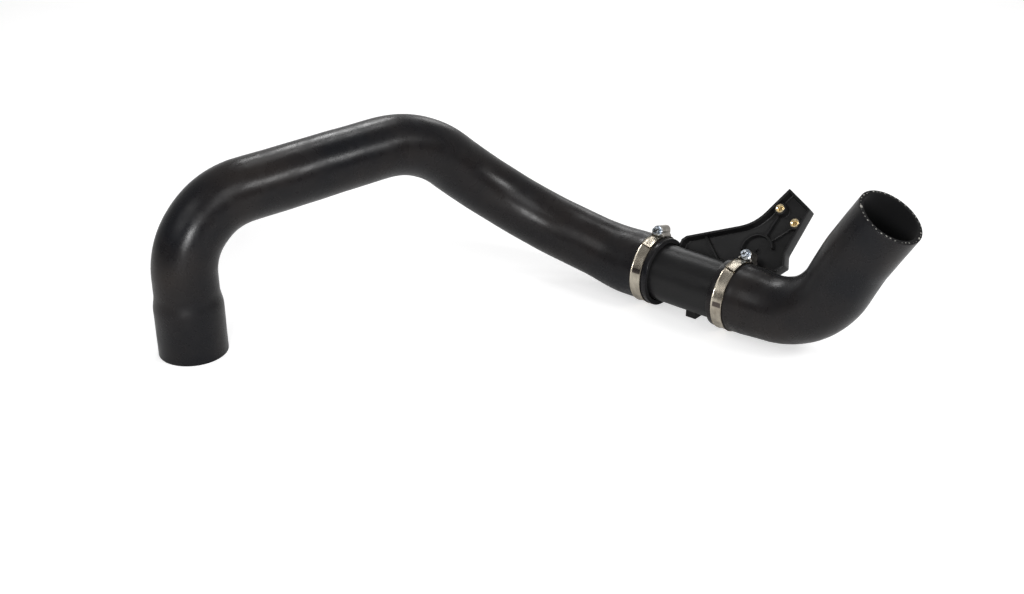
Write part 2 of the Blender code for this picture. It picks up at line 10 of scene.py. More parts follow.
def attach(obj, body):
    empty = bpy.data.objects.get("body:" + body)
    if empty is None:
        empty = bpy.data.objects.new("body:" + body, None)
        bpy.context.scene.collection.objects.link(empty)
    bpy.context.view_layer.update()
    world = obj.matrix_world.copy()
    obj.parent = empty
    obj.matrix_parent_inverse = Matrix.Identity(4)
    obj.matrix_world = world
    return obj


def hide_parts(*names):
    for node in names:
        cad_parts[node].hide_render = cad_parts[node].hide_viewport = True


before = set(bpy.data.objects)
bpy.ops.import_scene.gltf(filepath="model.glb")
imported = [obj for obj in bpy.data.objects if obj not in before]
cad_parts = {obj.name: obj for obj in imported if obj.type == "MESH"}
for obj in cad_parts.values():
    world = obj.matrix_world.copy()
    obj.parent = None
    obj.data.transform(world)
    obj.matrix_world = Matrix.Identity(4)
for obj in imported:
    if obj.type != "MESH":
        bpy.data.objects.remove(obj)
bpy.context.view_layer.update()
print("frame loaded:", len(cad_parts), "parts")

mm = 0.001
weldDistance = 0.000001
pipeBody = "pipe"

# Places that more than one piece shares
layout = {
    "axisHeight": 35.3 * mm,      # connector's axis over the surface
    "inletEnd": -40.0 * mm,       # long hose's end
    "outletEnd": 31.2 * mm,       # elbow hose's end
    "clampSetback": 12.5 * mm,
    "cuffRadius": 34.1 * mm,
    "hoseWall": 4.5 * mm,
    "tubeRadius": 29.3 * mm,
    "screwRadius": 40.9 * mm,     # clamp screw's axis from the connector's axis
}


# Surfaces

def unit(vector):
    return vector / np.linalg.norm(vector)


def unitRows(vectors):
    return vectors / np.linalg.norm(vectors, axis=1)[:, None]


def ease(value):
    # smooth step: 0 below 0, 1 above 1 and 3t² - 2t³ between
    value = np.clip(value, 0, 1)
    return value * value * (3 - 2 * value)


def enclosed(points, quads, caps):
    # six times the volume inside: the sum of a · (b × c) over all triangles
    triangles = [quads[:, [0, 1, 2]], quads[:, [0, 2, 3]]]
    for cap in caps:
        cap = np.array(cap)
        triangles.append(np.stack([np.full(len(cap) - 2, cap[0]), cap[1:-1], cap[2:]], -1))
    a, b, c = np.moveaxis(points[np.concatenate(triangles)], 1, 0)
    return float(np.sum(a * np.cross(b, c)))


def gridShell(points, rowsClosed=False, fields=None):
    # rings points[row, column] joined by quads; open ends get a flat cap, and faces look outwards
    rows, cols = points.shape[:2]
    index = np.arange(rows * cols).reshape(rows, cols)
    here = index if rowsClosed else index[:-1]
    after = np.roll(index, -1, 0) if rowsClosed else index[1:]
    quads = np.stack([here, after, np.roll(after, -1, 1), np.roll(here, -1, 1)], -1).reshape(-1, 4)
    caps = [] if rowsClosed else [index[0].tolist(), index[-1][::-1].tolist()]
    flat = points.reshape(-1, 3)
    if enclosed(flat, quads, caps) < 0:
        quads = quads[:, ::-1]
        caps = [cap[::-1] for cap in caps]
    fields = {key: np.broadcast_to(value, (rows, cols)).reshape(-1) for key, value in (fields or {}).items()}
    return {"points": flat, "quads": quads, "caps": caps, "fields": fields}


def shellMesh(name, shells):
    # all shells in one mesh, with doubled points welded
    points = np.concatenate([shell["points"] for shell in shells])
    faces = []
    first = 0
    for shell in shells:
        faces += (shell["quads"] + first).tolist()
        faces += [[corner + first for corner in cap] for cap in shell["caps"]]
        first += len(shell["points"])
    mesh = bpy.data.meshes.new(name)
    mesh.from_pydata(points.tolist(), [], faces)
    for key in sorted({key for shell in shells for key in shell["fields"]}):
        values = [shell["fields"].get(key, np.zeros(len(shell["points"]))) for shell in shells]
        values = np.concatenate(values).astype(np.float32)
        mesh.attributes.new(key, "FLOAT", "POINT").data.foreach_set("value", values)
    shape = bmesh.new()
    shape.from_mesh(mesh)
    bmesh.ops.remove_doubles(shape, verts=shape.verts, dist=weldDistance)
    bmesh.ops.dissolve_degenerate(shape, edges=shape.edges, dist=weldDistance)
    shape.to_mesh(mesh)
    shape.free()
    return mesh


def addObject(name, data):
    obj = bpy.data.objects.new(name, data)
    bpy.context.scene.collection.objects.link(obj)
    return obj


def cutMesh(mesh, shells):
    # mesh less the given shells, by an exact Boolean
    base = addObject("base", mesh)
    cutter = addObject("cutter", shellMesh("cutter", shells))
    modifier = base.modifiers.new("cut", "BOOLEAN")
    modifier.operation = "DIFFERENCE"
    modifier.solver = "EXACT"
    modifier.object = cutter
    graph = bpy.context.evaluated_depsgraph_get()
    result = bpy.data.meshes.new_from_object(base.evaluated_get(graph))
    for obj in (base, cutter):
        bpy.data.objects.remove(obj)
    return result


def joinMeshes(name, meshes):
    shape = bmesh.new()
    for mesh in meshes:
        shape.from_mesh(mesh)
    joined = bpy.data.meshes.new(name)
    shape.to_mesh(joined)
    shape.free()
    return joined


def placePiece(name, mesh, finish, body=pipeBody, replaced=(), sharpAngle=35):
    mesh.materials.clear()
    mesh.materials.append(finishes[finish])
    mesh.shade_smooth()
    mesh.set_sharp_from_angle(angle=math.radians(sharpAngle))
    piece = addObject(name, mesh)
    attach(piece, body)
    if replaced:
        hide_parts(*replaced)


def roundCorners(corners, steps=6):
    # closed outline through corners (x, y, radius): each corner is an arc of steps + 1 points
    corners = np.array(corners, float)
    place = corners[:, :2]
    before = unitRows(np.roll(place, 1, 0) - place)
    after = unitRows(np.roll(place, -1, 0) - place)
    turn = np.pi - np.arccos(np.clip(np.sum(before * after, 1), -1, 1))
    cross = before[:, 0] * after[:, 1] - before[:, 1] * after[:, 0]
    radius = np.maximum(corners[:, 2], 0.00001)
    centre = place + unitRows(before + after) * (radius / np.cos(turn / 2))[:, None]
    first = place + before * (radius * np.tan(turn / 2))[:, None] - centre
    angle = np.where(cross < 0, 1, -1)[:, None] * turn[:, None] * np.linspace(0, 1, steps + 1)
    x = first[:, :1] * np.cos(angle) - first[:, 1:] * np.sin(angle)
    y = first[:, :1] * np.sin(angle) + first[:, 1:] * np.cos(angle)
    return (centre[:, None] + np.stack([x, y], -1)).reshape(-1, 2)


def insetCorners(corners, distance):
    # every side of a clockwise outline moved inwards; rounded corners keep their centres
    corners = np.array(corners, float)
    place = corners[:, :2]
    arrive = unitRows(place - np.roll(place, 1, 0))
    leave = np.roll(arrive, -1, 0)
    normalIn = np.stack([arrive[:, 1], -arrive[:, 0]], -1)
    normalOut = np.stack([leave[:, 1], -leave[:, 0]], -1)
    bisector = normalIn + normalOut
    moved = place + bisector * (distance / np.sum(bisector * normalIn, 1))[:, None]
    outwards = arrive[:, 0] * leave[:, 1] - arrive[:, 1] * leave[:, 0] > 0
    radius = np.where(outwards, corners[:, 2] + distance, np.maximum(corners[:, 2] - distance, 0))
    return np.column_stack([moved, radius])


def quarterRound(x, z, reachX, reachZ, swapped=False, ends=True, steps=4):
    # points along a quarter circle beside the corner (x, z): x + reachX (1 - sin t), z + reachZ (1 - cos t)
    arc = np.linspace(0, np.pi / 2, steps + 1)
    if not ends:
        arc = arc[1:-1]
    first, second = 1 - np.sin(arc), 1 - np.cos(arc)
    if swapped:
        first, second = second, first
    return np.column_stack([x + reachX * first, z + reachZ * second])


def turned(degrees, axis):
    return Matrix.Rotation(math.radians(degrees), 4, axis)


def placed(points, matrix):
    # points moved by a 4x4 matrix, as whole arrays
    matrix = np.array(matrix)
    return points @ matrix[:3, :3].T + matrix[:3, 3]


def turnedShell(profile, turns, matrix, ripple=None, closed=False):
    # (radius, height) profile turned about local Z: x = r cos t, y = r sin t, z = h
    profile = np.array(profile, float)
    angle = np.linspace(0, 2 * np.pi, turns, endpoint=False)
    radius = profile[:, :1] * np.ones(turns)
    height = profile[:, 1:] * np.ones(turns)
    if ripple is not None:
        radius = radius + ripple(angle[None], height, radius)
    points = np.stack([radius * np.cos(angle), radius * np.sin(angle), height], -1)
    return gridShell(placed(points, matrix), rowsClosed=closed)


def boxCorners(halfX, halfY, radius=0):
    # a clockwise rectangle about the origin
    return [(x * halfX, y * halfY, radius) for x, y in ((-1, -1), (-1, 1), (1, 1), (1, -1))]


def plateShell(corners, low, high, edge, matrix, steps=6):
    # a clockwise outline with rounded edges, from height low to height high
    lowEdge = quarterRound(0, low, edge, edge)
    highEdge = quarterRound(0, high, edge, -edge, swapped=True)
    rings = []
    for inset, height in np.concatenate([lowEdge, highEdge]):
        ring = roundCorners(insetCorners(corners, inset), steps)
        rings.append(np.column_stack([ring, np.full(len(ring), height)]))
    return gridShell(placed(np.array(rings), matrix))


# Routes: straights and arcs, with a frame carried along that never twists

def turnAbout(vector, hub, angle):
    # Rodrigues' turn of a vector about a unit axis, for an array of angles
    angle = np.asarray(angle, float)[..., None]
    across = np.cross(hub, vector)
    return vector * np.cos(angle) + across * np.sin(angle) + hub * (hub @ vector) * (1 - np.cos(angle))


def makeRoute(corners, bends):
    corners = [np.array(corner, float) for corner in corners]
    axis = unit(corners[1] - corners[0])
    slanting = (0.31, 0.53, 0.79)    # no hose starts along it
    side = unit(np.cross(axis, slanting))
    start = corners[0]
    route = []

    def addStretch(length, bend=None, hub=None):
        route.append({"start": start, "axis": axis, "side": side, "length": length, "bend": bend, "hub": hub})

    for corner, after, bend in zip(corners[1:], corners[2:], bends):
        leave = unit(after - corner)
        turn = math.acos(axis @ leave)
        reach = bend * math.tan(turn / 2)
        addStretch(np.linalg.norm(corner - start) - reach)
        start = corner - axis * reach
        hub = unit(np.cross(axis, leave))
        addStretch(bend * turn, bend, hub)
        side = turnAbout(side, hub, turn)
        axis = leave
        start = corner + leave * reach
    addStretch(np.linalg.norm(corners[-1] - start))
    return route


def routeLength(route):
    return sum(stretch["length"] for stretch in route)


def alongRoute(route, distance):
    # centre, side and up at each distance: on an arc, start + axis R sin a + inwards R (1 - cos a)
    centre, side, axis = np.zeros((3, len(distance), 3))
    passed = 0
    for stretch in route:
        rows = distance >= passed - weldDistance
        here = (distance[rows] - passed)[:, None]
        if stretch["bend"]:
            angle = here[:, 0] / stretch["bend"]
            inwards = np.cross(stretch["hub"], stretch["axis"])
            sweep = stretch["axis"] * np.sin(angle)[:, None] + inwards * (1 - np.cos(angle))[:, None]
            centre[rows] = stretch["start"] + stretch["bend"] * sweep
            side[rows] = turnAbout(stretch["side"], stretch["hub"], angle)
            axis[rows] = turnAbout(stretch["axis"], stretch["hub"], angle)
        else:
            centre[rows] = stretch["start"] + stretch["axis"] * here
            side[rows] = stretch["side"]
            axis[rows] = stretch["axis"]
        passed += stretch["length"]
    return centre, side, np.cross(axis, side)


# Finishes

def newFinish(name, colour, roughness, metallic=0.0):
    material = bpy.data.materials.new(name)
    material.use_nodes = True
    tree = material.node_tree
    shader = tree.nodes["Principled BSDF"]
    feed(tree, shader, {"Base Color": (*colour, 1), "Roughness": roughness, "Metallic": metallic})
    place = addNode(tree, "ShaderNodeTexCoord").outputs["Object"]
    return material, tree, shader, place


def feed(tree, node, inputs):
    # each input gets a link, or a plain value of its own
    for key, value in inputs.items():
        if isinstance(value, bpy.types.NodeSocket):
            tree.links.new(value, node.inputs[key])
        else:
            node.inputs[key].default_value = value


def addNode(tree, kind, inputs=None, **settings):
    node = tree.nodes.new(kind)
    for key, value in settings.items():
        setattr(node, key, value)
    feed(tree, node, inputs or {})
    return node


def combine(tree, operation, first, second):
    return addNode(tree, "ShaderNodeMath", {0: first, 1: second}, operation=operation).outputs[0]


def field(tree, name):
    return addNode(tree, "ShaderNodeAttribute", attribute_name=name).outputs["Fac"]


def noise(tree, place, scale, detail=2.0, roughness=0.5, stretch=None):
    if stretch:
        place = addNode(tree, "ShaderNodeMapping", {"Vector": place, "Scale": stretch}).outputs["Vector"]
    inputs = {"Vector": place, "Scale": scale, "Detail": detail, "Roughness": roughness}
    return addNode(tree, "ShaderNodeTexNoise", inputs).outputs["Fac"]


def remap(tree, value, low, high, newLow=0.0, newHigh=1.0):
    inputs = {"Value": value, "From Min": low, "From Max": high, "To Min": newLow, "To Max": newHigh}
    return addNode(tree, "ShaderNodeMapRange", inputs).outputs["Result"]


def mixColour(tree, share, first, second):
    first, second = ((*value, 1) if isinstance(value, tuple) else value for value in (first, second))
    return addNode(tree, "ShaderNodeMix", {0: share, 6: first, 7: second}, data_type="RGBA").outputs[2]


def bump(tree, height, strength, distance, before=None):
    inputs = {"Height": height, "Strength": strength, "Distance": distance}
    if before:
        inputs["Normal"] = before
    return addNode(tree, "ShaderNodeBump", inputs).outputs["Normal"]


rubberLook = {
    "dark": (0.0045, 0.0048, 0.0064),
    "worn": (0.0160, 0.0130, 0.0120),
    "dust": (0.055, 0.050, 0.045),
    "cutFace": (0.0045, 0.0045, 0.0050),
    "roughLow": 0.27,
    "roughHigh": 0.44,
    "gloss": 0.24,
    "sheen": 0.03,
    "cloudScale": 14,
    "smearScale": 60,
    "speckScale": 900,
    "grainScale": 1400,
    "waveScale": 45,
    "wrapScale": 850,             # marks of the wrapping cloth along the hose
}


def rubberFinish(name, look):
    # cured rubber: cloudy wear, fine grain, faint marks of the cloth it was wrapped in and a few dust specks
    material, tree, shader, place = newFinish(name, look["dark"], look["roughLow"])
    cloud = remap(tree, noise(tree, place, look["cloudScale"], 3), 0.35, 0.72)
    smear = remap(tree, noise(tree, place, look["smearScale"], 4, 0.6), 0.45, 0.75, 0, 0.6)
    colour = mixColour(tree, cloud, look["dark"], look["worn"])
    specks = remap(tree, noise(tree, place, look["speckScale"], 1), 0.74, 0.80, 0, 0.5)
    colour = mixColour(tree, specks, colour, look["dust"])
    cut = field(tree, "cut")
    rough = remap(tree, smear, 0, 0.6, look["roughLow"], look["roughHigh"])
    grain = bump(tree, noise(tree, place, look["grainScale"], 2), 0.10, 0.0003)
    strip = addNode(tree, "ShaderNodeCombineXYZ", {"X": field(tree, "along")}).outputs["Vector"]
    wraps = noise(tree, strip, 1, 3, 0.6, (look["wrapScale"], 1, 1))
    wraps = bump(tree, wraps, 0.10, 0.0003, grain)
    waves = bump(tree, noise(tree, place, look["waveScale"], 3), 0.16, 0.0012, wraps)
    feed(tree, shader, {"Base Color": mixColour(tree, cut, colour, look["cutFace"]),
                        "Roughness": combine(tree, "MAXIMUM", rough, cut), "Normal": waves,
                        "Specular IOR Level": look["gloss"], "Sheen Weight": look["sheen"],
                        "Sheen Roughness": 0.5})
    return material


plasticLook = {
    "dark": (0.0070, 0.0070, 0.0074),
    "pale": (0.0130, 0.0128, 0.0130),
    "roughLow": 0.28,
    "roughHigh": 0.42,
    "gloss": 0.26,
    "flowScale": 50,
    "speckleScale": 1600,
}


def plasticFinish(name, look):
    # glass-filled nylon: fine speckle, flow streaks along the tube and a soft gloss
    material, tree, shader, place = newFinish(name, look["dark"], look["roughLow"])
    flow = remap(tree, noise(tree, place, look["flowScale"], 4, 0.6, (0.25, 1, 1)), 0.35, 0.7)
    speckle = bump(tree, noise(tree, place, look["speckleScale"], 2), 0.08, 0.0002)
    feed(tree, shader, {"Base Color": mixColour(tree, flow, look["dark"], look["pale"]),
                        "Roughness": remap(tree, flow, 0, 1, look["roughLow"], look["roughHigh"]),
                        "Specular IOR Level": look["gloss"],
                        "Normal": bump(tree, flow, 0.10, 0.0005, speckle)})
    return material


bandLook = {
    "bright": (0.70, 0.64, 0.53),
    "dull": (0.42, 0.37, 0.30),
    "roughLow": 0.16,
    "roughHigh": 0.34,
    "markShade": (0.12, 0.10, 0.09),
    "lineScale": (90, 5200, 1),
    "patchScale": (70, 120, 1),
}


def bandFinish(name, look):
    # rolled stainless strip: hair lines along it, from its own length field, and a dull plain mark
    material, tree, shader, place = newFinish(name, look["bright"], look["roughLow"], 1.0)
    across = addNode(tree, "ShaderNodeSeparateXYZ", {"Vector": place}).outputs["X"]
    strip = addNode(tree, "ShaderNodeCombineXYZ", {"X": field(tree, "along"), "Y": across}).outputs["Vector"]
    lines = noise(tree, strip, 1, 4, 0.65, look["lineScale"])
    patches = remap(tree, noise(tree, strip, 1, 3, 0.5, look["patchScale"]), 0.3, 0.7)
    colour = mixColour(tree, patches, look["bright"], look["dull"])
    feed(tree, shader, {"Base Color": mixColour(tree, field(tree, "mark"), colour, look["markShade"]),
                        "Roughness": remap(tree, lines, 0.3, 0.7, look["roughLow"], look["roughHigh"]),
                        "Normal": bump(tree, lines, 0.15, 0.00008)})
    return material


sheetLook = {
    "bright": (0.62, 0.59, 0.54),
    "dull": (0.44, 0.41, 0.37),
    "roughLow": 0.24,
    "roughHigh": 0.42,
}
zincLook = {
    "bright": (0.74, 0.79, 0.84),
    "dull": (0.42, 0.48, 0.56),
    "roughLow": 0.16,
    "roughHigh": 0.36,
}
brassLook = {
    "bright": (0.92, 0.80, 0.54),
    "dull": (0.70, 0.54, 0.30),
    "roughLow": 0.20,
    "roughHigh": 0.38,
}


def metalFinish(name, look, cloudScale, scratchScale):
    # plated or pressed metal: clouded tone, fine scratches and small dents
    material, tree, shader, place = newFinish(name, look["bright"], look["roughLow"], 1.0)
    cloud = remap(tree, noise(tree, place, cloudScale, 3), 0.36, 0.68)
    scratch = noise(tree, place, scratchScale, 4, 0.7, (1, 6, 1))
    feed(tree, shader, {"Base Color": mixColour(tree, cloud, look["bright"], look["dull"]),
                        "Roughness": remap(tree, scratch, 0.3, 0.7, look["roughLow"], look["roughHigh"]),
                        "Normal": bump(tree, scratch, 0.12, 0.0001)})
    return material


slotShadeLook = {
    "tone": (0.012, 0.011, 0.010),
    "patchTone": (0.05, 0.045, 0.04),
    "rough": 0.8,
    "patches": (1500, 0.5, 0.8),      # scale, and the noise at which they start and are whole
    "lumps": (1500, 3, 0.5),          # scale, detail and strength
}
threadLook = {
    "tone": (0.36, 0.35, 0.32),
    "patchTone": (0.06, 0.06, 0.055),
    "rough": 0.6,
    "patches": (260, 0.4, 0.62),
    "lumps": (3000, 2, 0.4),
}


def dullFinish(name, look):
    # painted shade laid in a screw's slots, or cut polyester ends: lumpy, with patches of another tone
    material, tree, shader, place = newFinish(name, look["tone"], look["rough"])
    scale, low, high = look["patches"]
    patches = remap(tree, noise(tree, place, scale, 3), low, high)
    scale, detail, strength = look["lumps"]
    feed(tree, shader, {"Base Color": mixColour(tree, patches, look["tone"], look["patchTone"]),
                        "Normal": bump(tree, noise(tree, place, scale, detail), strength, 0.0002)})
    return material


finishes = {
    "hose": rubberFinish("hoseRubber", rubberLook),
    "elbow": rubberFinish("elbowRubber", rubberLook),
    "plastic": plasticFinish("filledPlastic", plasticLook),
    "band": bandFinish("rolledStrip", bandLook),
    "sheet": metalFinish("pressedSheet", sheetLook, 160, 700),
    "zinc": metalFinish("zincPlate", zincLook, 420, 900),
    "brass": metalFinish("turnedBrass", brassLook, 300, 1200),
    "thread": dullFinish("threadEnds", threadLook),
    # a dark lumpy fill that paints the shade in the screws' slots
    "slotShade": dullFinish("slotPaintedShade", slotShadeLook),
}
print("finishes made:", len(finishes))


# Hoses

longHose = {
    "cuffPlace": (-0.331, -0.3744),
    "riseHeight": 0.1468,
    "topCorner": (-0.2719, -0.1151, 0.1599),
    "lowCorner": (-0.2294, -0.0230, 0.0673),
    "joinCorner": -0.0937,
    "bends": (0.071, 0.1085, 0.1687, 0.110),
    "cuffRadius": 33.3 * mm,
    "cuffLength": 48 * mm,
    "cuffTaper": 16 * mm,
    "runRadius": 31.0 * mm,
    "jointCuff": 36 * mm,
    "jointTaper": 52 * mm,
    "endFlare": 0.9 * mm,         # the end swells past the clamp
    "endReach": 5.2 * mm,
    "turns": 112,
}
elbowHose = {
    "cornerX": 0.132,
    "legCorner": (0.1663, 0.0, 0.1125),
    "outletCentre": (0.1943, 0.0, 0.1603),
    "bends": (0.0768, 0.0949),
    "legRadius": 32.5 * mm,
    "outletRadius": 32.3 * mm,
    "outletTaper": 30 * mm,
    "jointCuff": 30 * mm,
    "jointTaper": 26 * mm,
    "turns": 120,
}
hoseSurface = {
    "ringSpacing": 1.8 * mm,
    "innerSpacing": 6 * mm,
    "rimRounding": 0.5 * mm,
    "wobble": 0.10 * mm,          # hand-made unevenness of the outside
    "bulge": 0.35 * mm,           # rubber pressed up on both sides of a band
    "bulgeReach": 2.2 * mm,
    "bandHalf": 6.0 * mm,
}


def bandBulge(distance, middle):
    # two soft ridges beside the band: the sum of two bell curves at middle ± reach
    offset = np.abs(distance - middle) - hoseSurface["bandHalf"] - hoseSurface["bulgeReach"]
    return hoseSurface["bulge"] * np.exp(-(offset / hoseSurface["bulgeReach"]) ** 2)


def unevenness(distance, angle, length):
    # three slow waves along and round the hose, fading to nothing at its ends
    fade = ease(distance / (30 * mm)) * ease((length - distance) / (30 * mm))
    waves = (np.sin(distance * 61 + 1.3 + 2 * np.sin(angle)) + 0.7 * np.sin(distance * 143 + 3 * angle + 0.4)
             + 0.5 * np.sin(distance * 37 - 2 * angle + 2.1))
    return hoseSurface["wobble"] * fade * waves


def hoseShell(route, outerRadius, turns):
    # a closed tube of one wall: the outside from end to end, round the rim and back along the bore
    length = routeLength(route)
    edge = hoseSurface["rimRounding"]
    wall = layout["hoseWall"]
    outer = np.linspace(edge, length - edge, int(length / hoseSurface["ringSpacing"]))
    inner = np.linspace(length - edge, edge, int(length / hoseSurface["innerSpacing"]))
    # each row: distance, depth into the wall
    rows = np.concatenate([np.column_stack([outer, np.zeros(len(outer))]),
                           quarterRound(length, 0, -edge, edge, ends=False),
                           [[length, edge], [length, wall - edge]],
                           quarterRound(length, wall, -edge, -edge, swapped=True, ends=False),
                           np.column_stack([inner, np.full(len(inner), wall)]),
                           quarterRound(0, wall, edge, -edge, ends=False),
                           [[0, wall - edge], [0, edge]],
                           quarterRound(0, 0, edge, edge, swapped=True, ends=False)])
    distance = rows[:, :1]
    angle = np.linspace(0, 2 * np.pi, turns, endpoint=False)[None]
    outside = np.where(rows[:, 1:] < edge, 1, 0)
    radius = outerRadius(distance) - rows[:, 1:] + outside * unevenness(distance, angle, length)
    centre, side, up = alongRoute(route, rows[:, 0])
    points = centre[:, None] + radius[..., None] * (side[:, None] * np.cos(angle)[..., None]
                                                    + up[:, None] * np.sin(angle)[..., None])
    # cut faces and the bore are duller than the skin
    cut = np.where(rows[:, 1:] >= edge, 1.0, 0.0)
    return gridShell(points, rowsClosed=True, fields={"cut": cut, "along": distance})


def makeHose(name, node, finish, spec, corners, firstRadius, changes, bandAt):
    # changes: (change of radius, start, reach), each a smooth step; a place below 0 counts from the far end
    route = makeRoute(corners, spec["bends"])
    length = routeLength(route)

    def outerRadius(distance):
        radius = firstRadius + bandBulge(distance, bandAt % length)
        for change, start, reach in changes:
            radius = radius + change * ease((distance - start % length) / reach)
        return radius

    mesh = shellMesh(name, [hoseShell(route, outerRadius, spec["turns"])])
    placePiece(name, mesh, finish, replaced=[node])
    return route, length


def makeLongHose():
    x, y = longHose["cuffPlace"]
    axisHeight = layout["axisHeight"]
    corners = [(x, y, 0), (x, y, longHose["riseHeight"]), longHose["topCorner"], longHose["lowCorner"],
               (longHose["joinCorner"], 0, axisHeight), (layout["inletEnd"], 0, axisHeight)]
    cuff, run, joint = longHose["cuffRadius"], longHose["runRadius"], layout["cuffRadius"]
    widenFrom = -longHose["jointCuff"] - longHose["jointTaper"]
    changes = [(run - cuff, longHose["cuffLength"], longHose["cuffTaper"]),
               (joint - run, widenFrom, longHose["jointTaper"]),
               (longHose["endFlare"], -longHose["endReach"], 3 * mm)]
    makeHose("longHose", "long_hose", "hose", longHose, corners, cuff, changes,
             -layout["clampSetback"])


def makeElbowHose():
    axisHeight = layout["axisHeight"]
    corners = [(layout["outletEnd"], 0, axisHeight), (elbowHose["cornerX"], 0, axisHeight),
               elbowHose["legCorner"], elbowHose["outletCentre"]]
    cuff, leg, end = layout["cuffRadius"], elbowHose["legRadius"], elbowHose["outletRadius"]
    changes = [(leg - cuff, elbowHose["jointCuff"], elbowHose["jointTaper"]),
               (end - leg, -elbowHose["outletTaper"], elbowHose["outletTaper"])]
    return makeHose("elbowHose", "elbow_hose", "elbow", elbowHose, corners, cuff, changes,
                    layout["clampSetback"])


threadEnds = {
    "count": 38,
    "radius": 30.6 * mm,
    "size": (1.0 * mm, 0.6 * mm, 0.35 * mm),    # half sizes round the rim, across it and out of it
    "seed": 7,
    "glintEnds": (((-0.641, -0.669, 0.376), 2.1), ((0.850, 0.174, -0.498), 1.8)),    # directions and sizes of two larger pale ends that paint the rim's glints
}


def makeThreadEnds(route, length):
    # cut reinforcement, with two larger ends as painted highlights of the rim's glints: small pillows set in
    # the rim, x = a cos u cos v, y = b sin u cos v, z = c sin v
    centre, side, up = (part[0] for part in alongRoute(route, np.array([length])))
    out = np.cross(side, up)
    dice = np.random.default_rng(threadEnds["seed"])
    along, across, rise = threadEnds["size"]
    u = np.linspace(0, 2 * np.pi, 10, endpoint=False)[None]
    v = np.linspace(-np.pi / 2, np.pi / 2, 7)[:, None]
    pillow = np.stack([along * np.cos(u) * np.cos(v), across * np.sin(u) * np.cos(v),
                       rise * np.sin(v) * np.ones_like(u)], -1)
    ends = []
    for index in range(threadEnds["count"]):
        angle = 2 * np.pi * (index + dice.uniform(-0.25, 0.25)) / threadEnds["count"]
        outwards = side * np.cos(angle) + up * np.sin(angle)
        ends.append((outwards, dice.uniform(0.55, 1.15), threadEnds["radius"] + dice.uniform(-0.5, 0.5) * mm))
    # two larger pale ends stand in for the rim's glints: painted highlights
    for toward, size in threadEnds["glintEnds"]:
        ends.append((unit(np.array(toward)), size, threadEnds["radius"]))
    shells = []
    for outwards, size, radius in ends:
        tangent = np.cross(out, outwards)
        spot = pillow * size
        points = (centre + outwards * radius + spot[..., :1] * tangent + spot[..., 1:2] * outwards
                  + spot[..., 2:] * out)
        shells.append(gridShell(points))
    placePiece("outletThreads", shellMesh("outletThreads", shells), "thread")


makeLongHose()
elbowRoute, elbowLength = makeElbowHose()
makeThreadEnds(elbowRoute, elbowLength)
print("hoses made")


# Connector

connector = {
    "bore": 26.3 * mm,
    "spigot": 38 * mm,
    "chamfer": 1.5 * mm,
    "land": 5 * mm,
    "grooveWidth": 4 * mm,
    "grooveDepth": 0.8 * mm,
    "turns": 160,
    "footHalf": (6 * mm, 10 * mm),
    "pipPlace": 29.4 * mm,
    "pipTurn": 29,                # degrees from the top towards the camera
    "pipRadius": 0.8 * mm,
}
bracket = {
    "lean": 40,                   # degrees back from upright
    "back": -15 * mm,
    "front": -2 * mm,
    "floor": 3 * mm,
    "rim": 2.4 * mm,
    "sideGap": 1 * mm,
    "lowerEdge": 35.1 * mm,
    "leftShoulder": 38.5 * mm,
    "leftTop": (-35.4, 43.3, 2),
    "crook": (30.1, 76.3, 45),
    "padTop": (50.4, 119.9, 0.6),
    "padCorner": (79.8, 105.4, 1.8),
    "waist": (74.0, 55.8, 8),
    "heel": (78.7, 43.7, 2),
    "heelToe": 72.0,
    "upperBoss": (49.2 * mm, 97.9 * mm),
    "lowerBoss": (70.2 * mm, 87.6 * mm),
    "bossRadius": 6.4 * mm,
    "ringCentre": (41.2 * mm, 51.7 * mm),
    "ringRadius": 17.5 * mm,
    "ringWall": 2.4 * mm,
    "ringFront": -6 * mm,
    "ringFrom": 21,               # degrees, its right end
    "ringTo": 193,
    "drainRadius": 2.2 * mm,
    "drainLeft": 0.8 * mm,        # what stays under the recess
    "drainLip": 0.9 * mm,
    "ribWidth": 2.5 * mm,
    "ribFront": -7 * mm,
    "rootRibTop": (-17.5 * mm, 50.0 * mm),
    "rootRibAngle": -40,
    "rounding": 0.5 * mm,
    "fillet": 1.2 * mm,
}
insert = {
    "radius": 4.0 * mm,
    "flange": 4.5 * mm,
    "flangeThickness": 0.8 * mm,
    "bore": 2.6 * mm,
    "length": 9 * mm,
    "threadPitch": 1.0 * mm,
    "threadDepth": 0.35 * mm,
    "gap": 0.3 * mm,
}

trayFloor = bracket["back"] + bracket["floor"]
plateLean = math.radians(bracket["lean"])
plateFrame = Matrix(((1, 0, 0, 0),
                     (0, math.sin(plateLean), -math.cos(plateLean), 0),
                     (0, math.cos(plateLean), math.sin(plateLean), layout["axisHeight"]),
                     (0, 0, 0, 1)))
tubeFrame = Matrix.Translation((0, 0, layout["axisHeight"])) @ turned(90, "Y")


def onPlate(centre):
    return plateFrame @ Matrix.Translation((*centre, 0))


def spigotProfile(tip, way):
    # (radius, height) from a spigot's tip inwards: chamfer, land and groove
    radius = layout["tubeRadius"]
    chamfer, land = connector["chamfer"], connector["land"]
    groove, depth = connector["grooveWidth"], connector["grooveDepth"]
    steps = [(connector["bore"] + 0.4 * mm, 0), (radius - chamfer, 0),
             (radius - 0.3 * chamfer, 0.3 * chamfer), (radius, chamfer),
             (radius, chamfer + land), (radius - depth, chamfer + land + depth),
             (radius - depth, chamfer + land + groove - depth), (radius, chamfer + land + groove)]
    return [(r, tip + way * h) for r, h in steps]


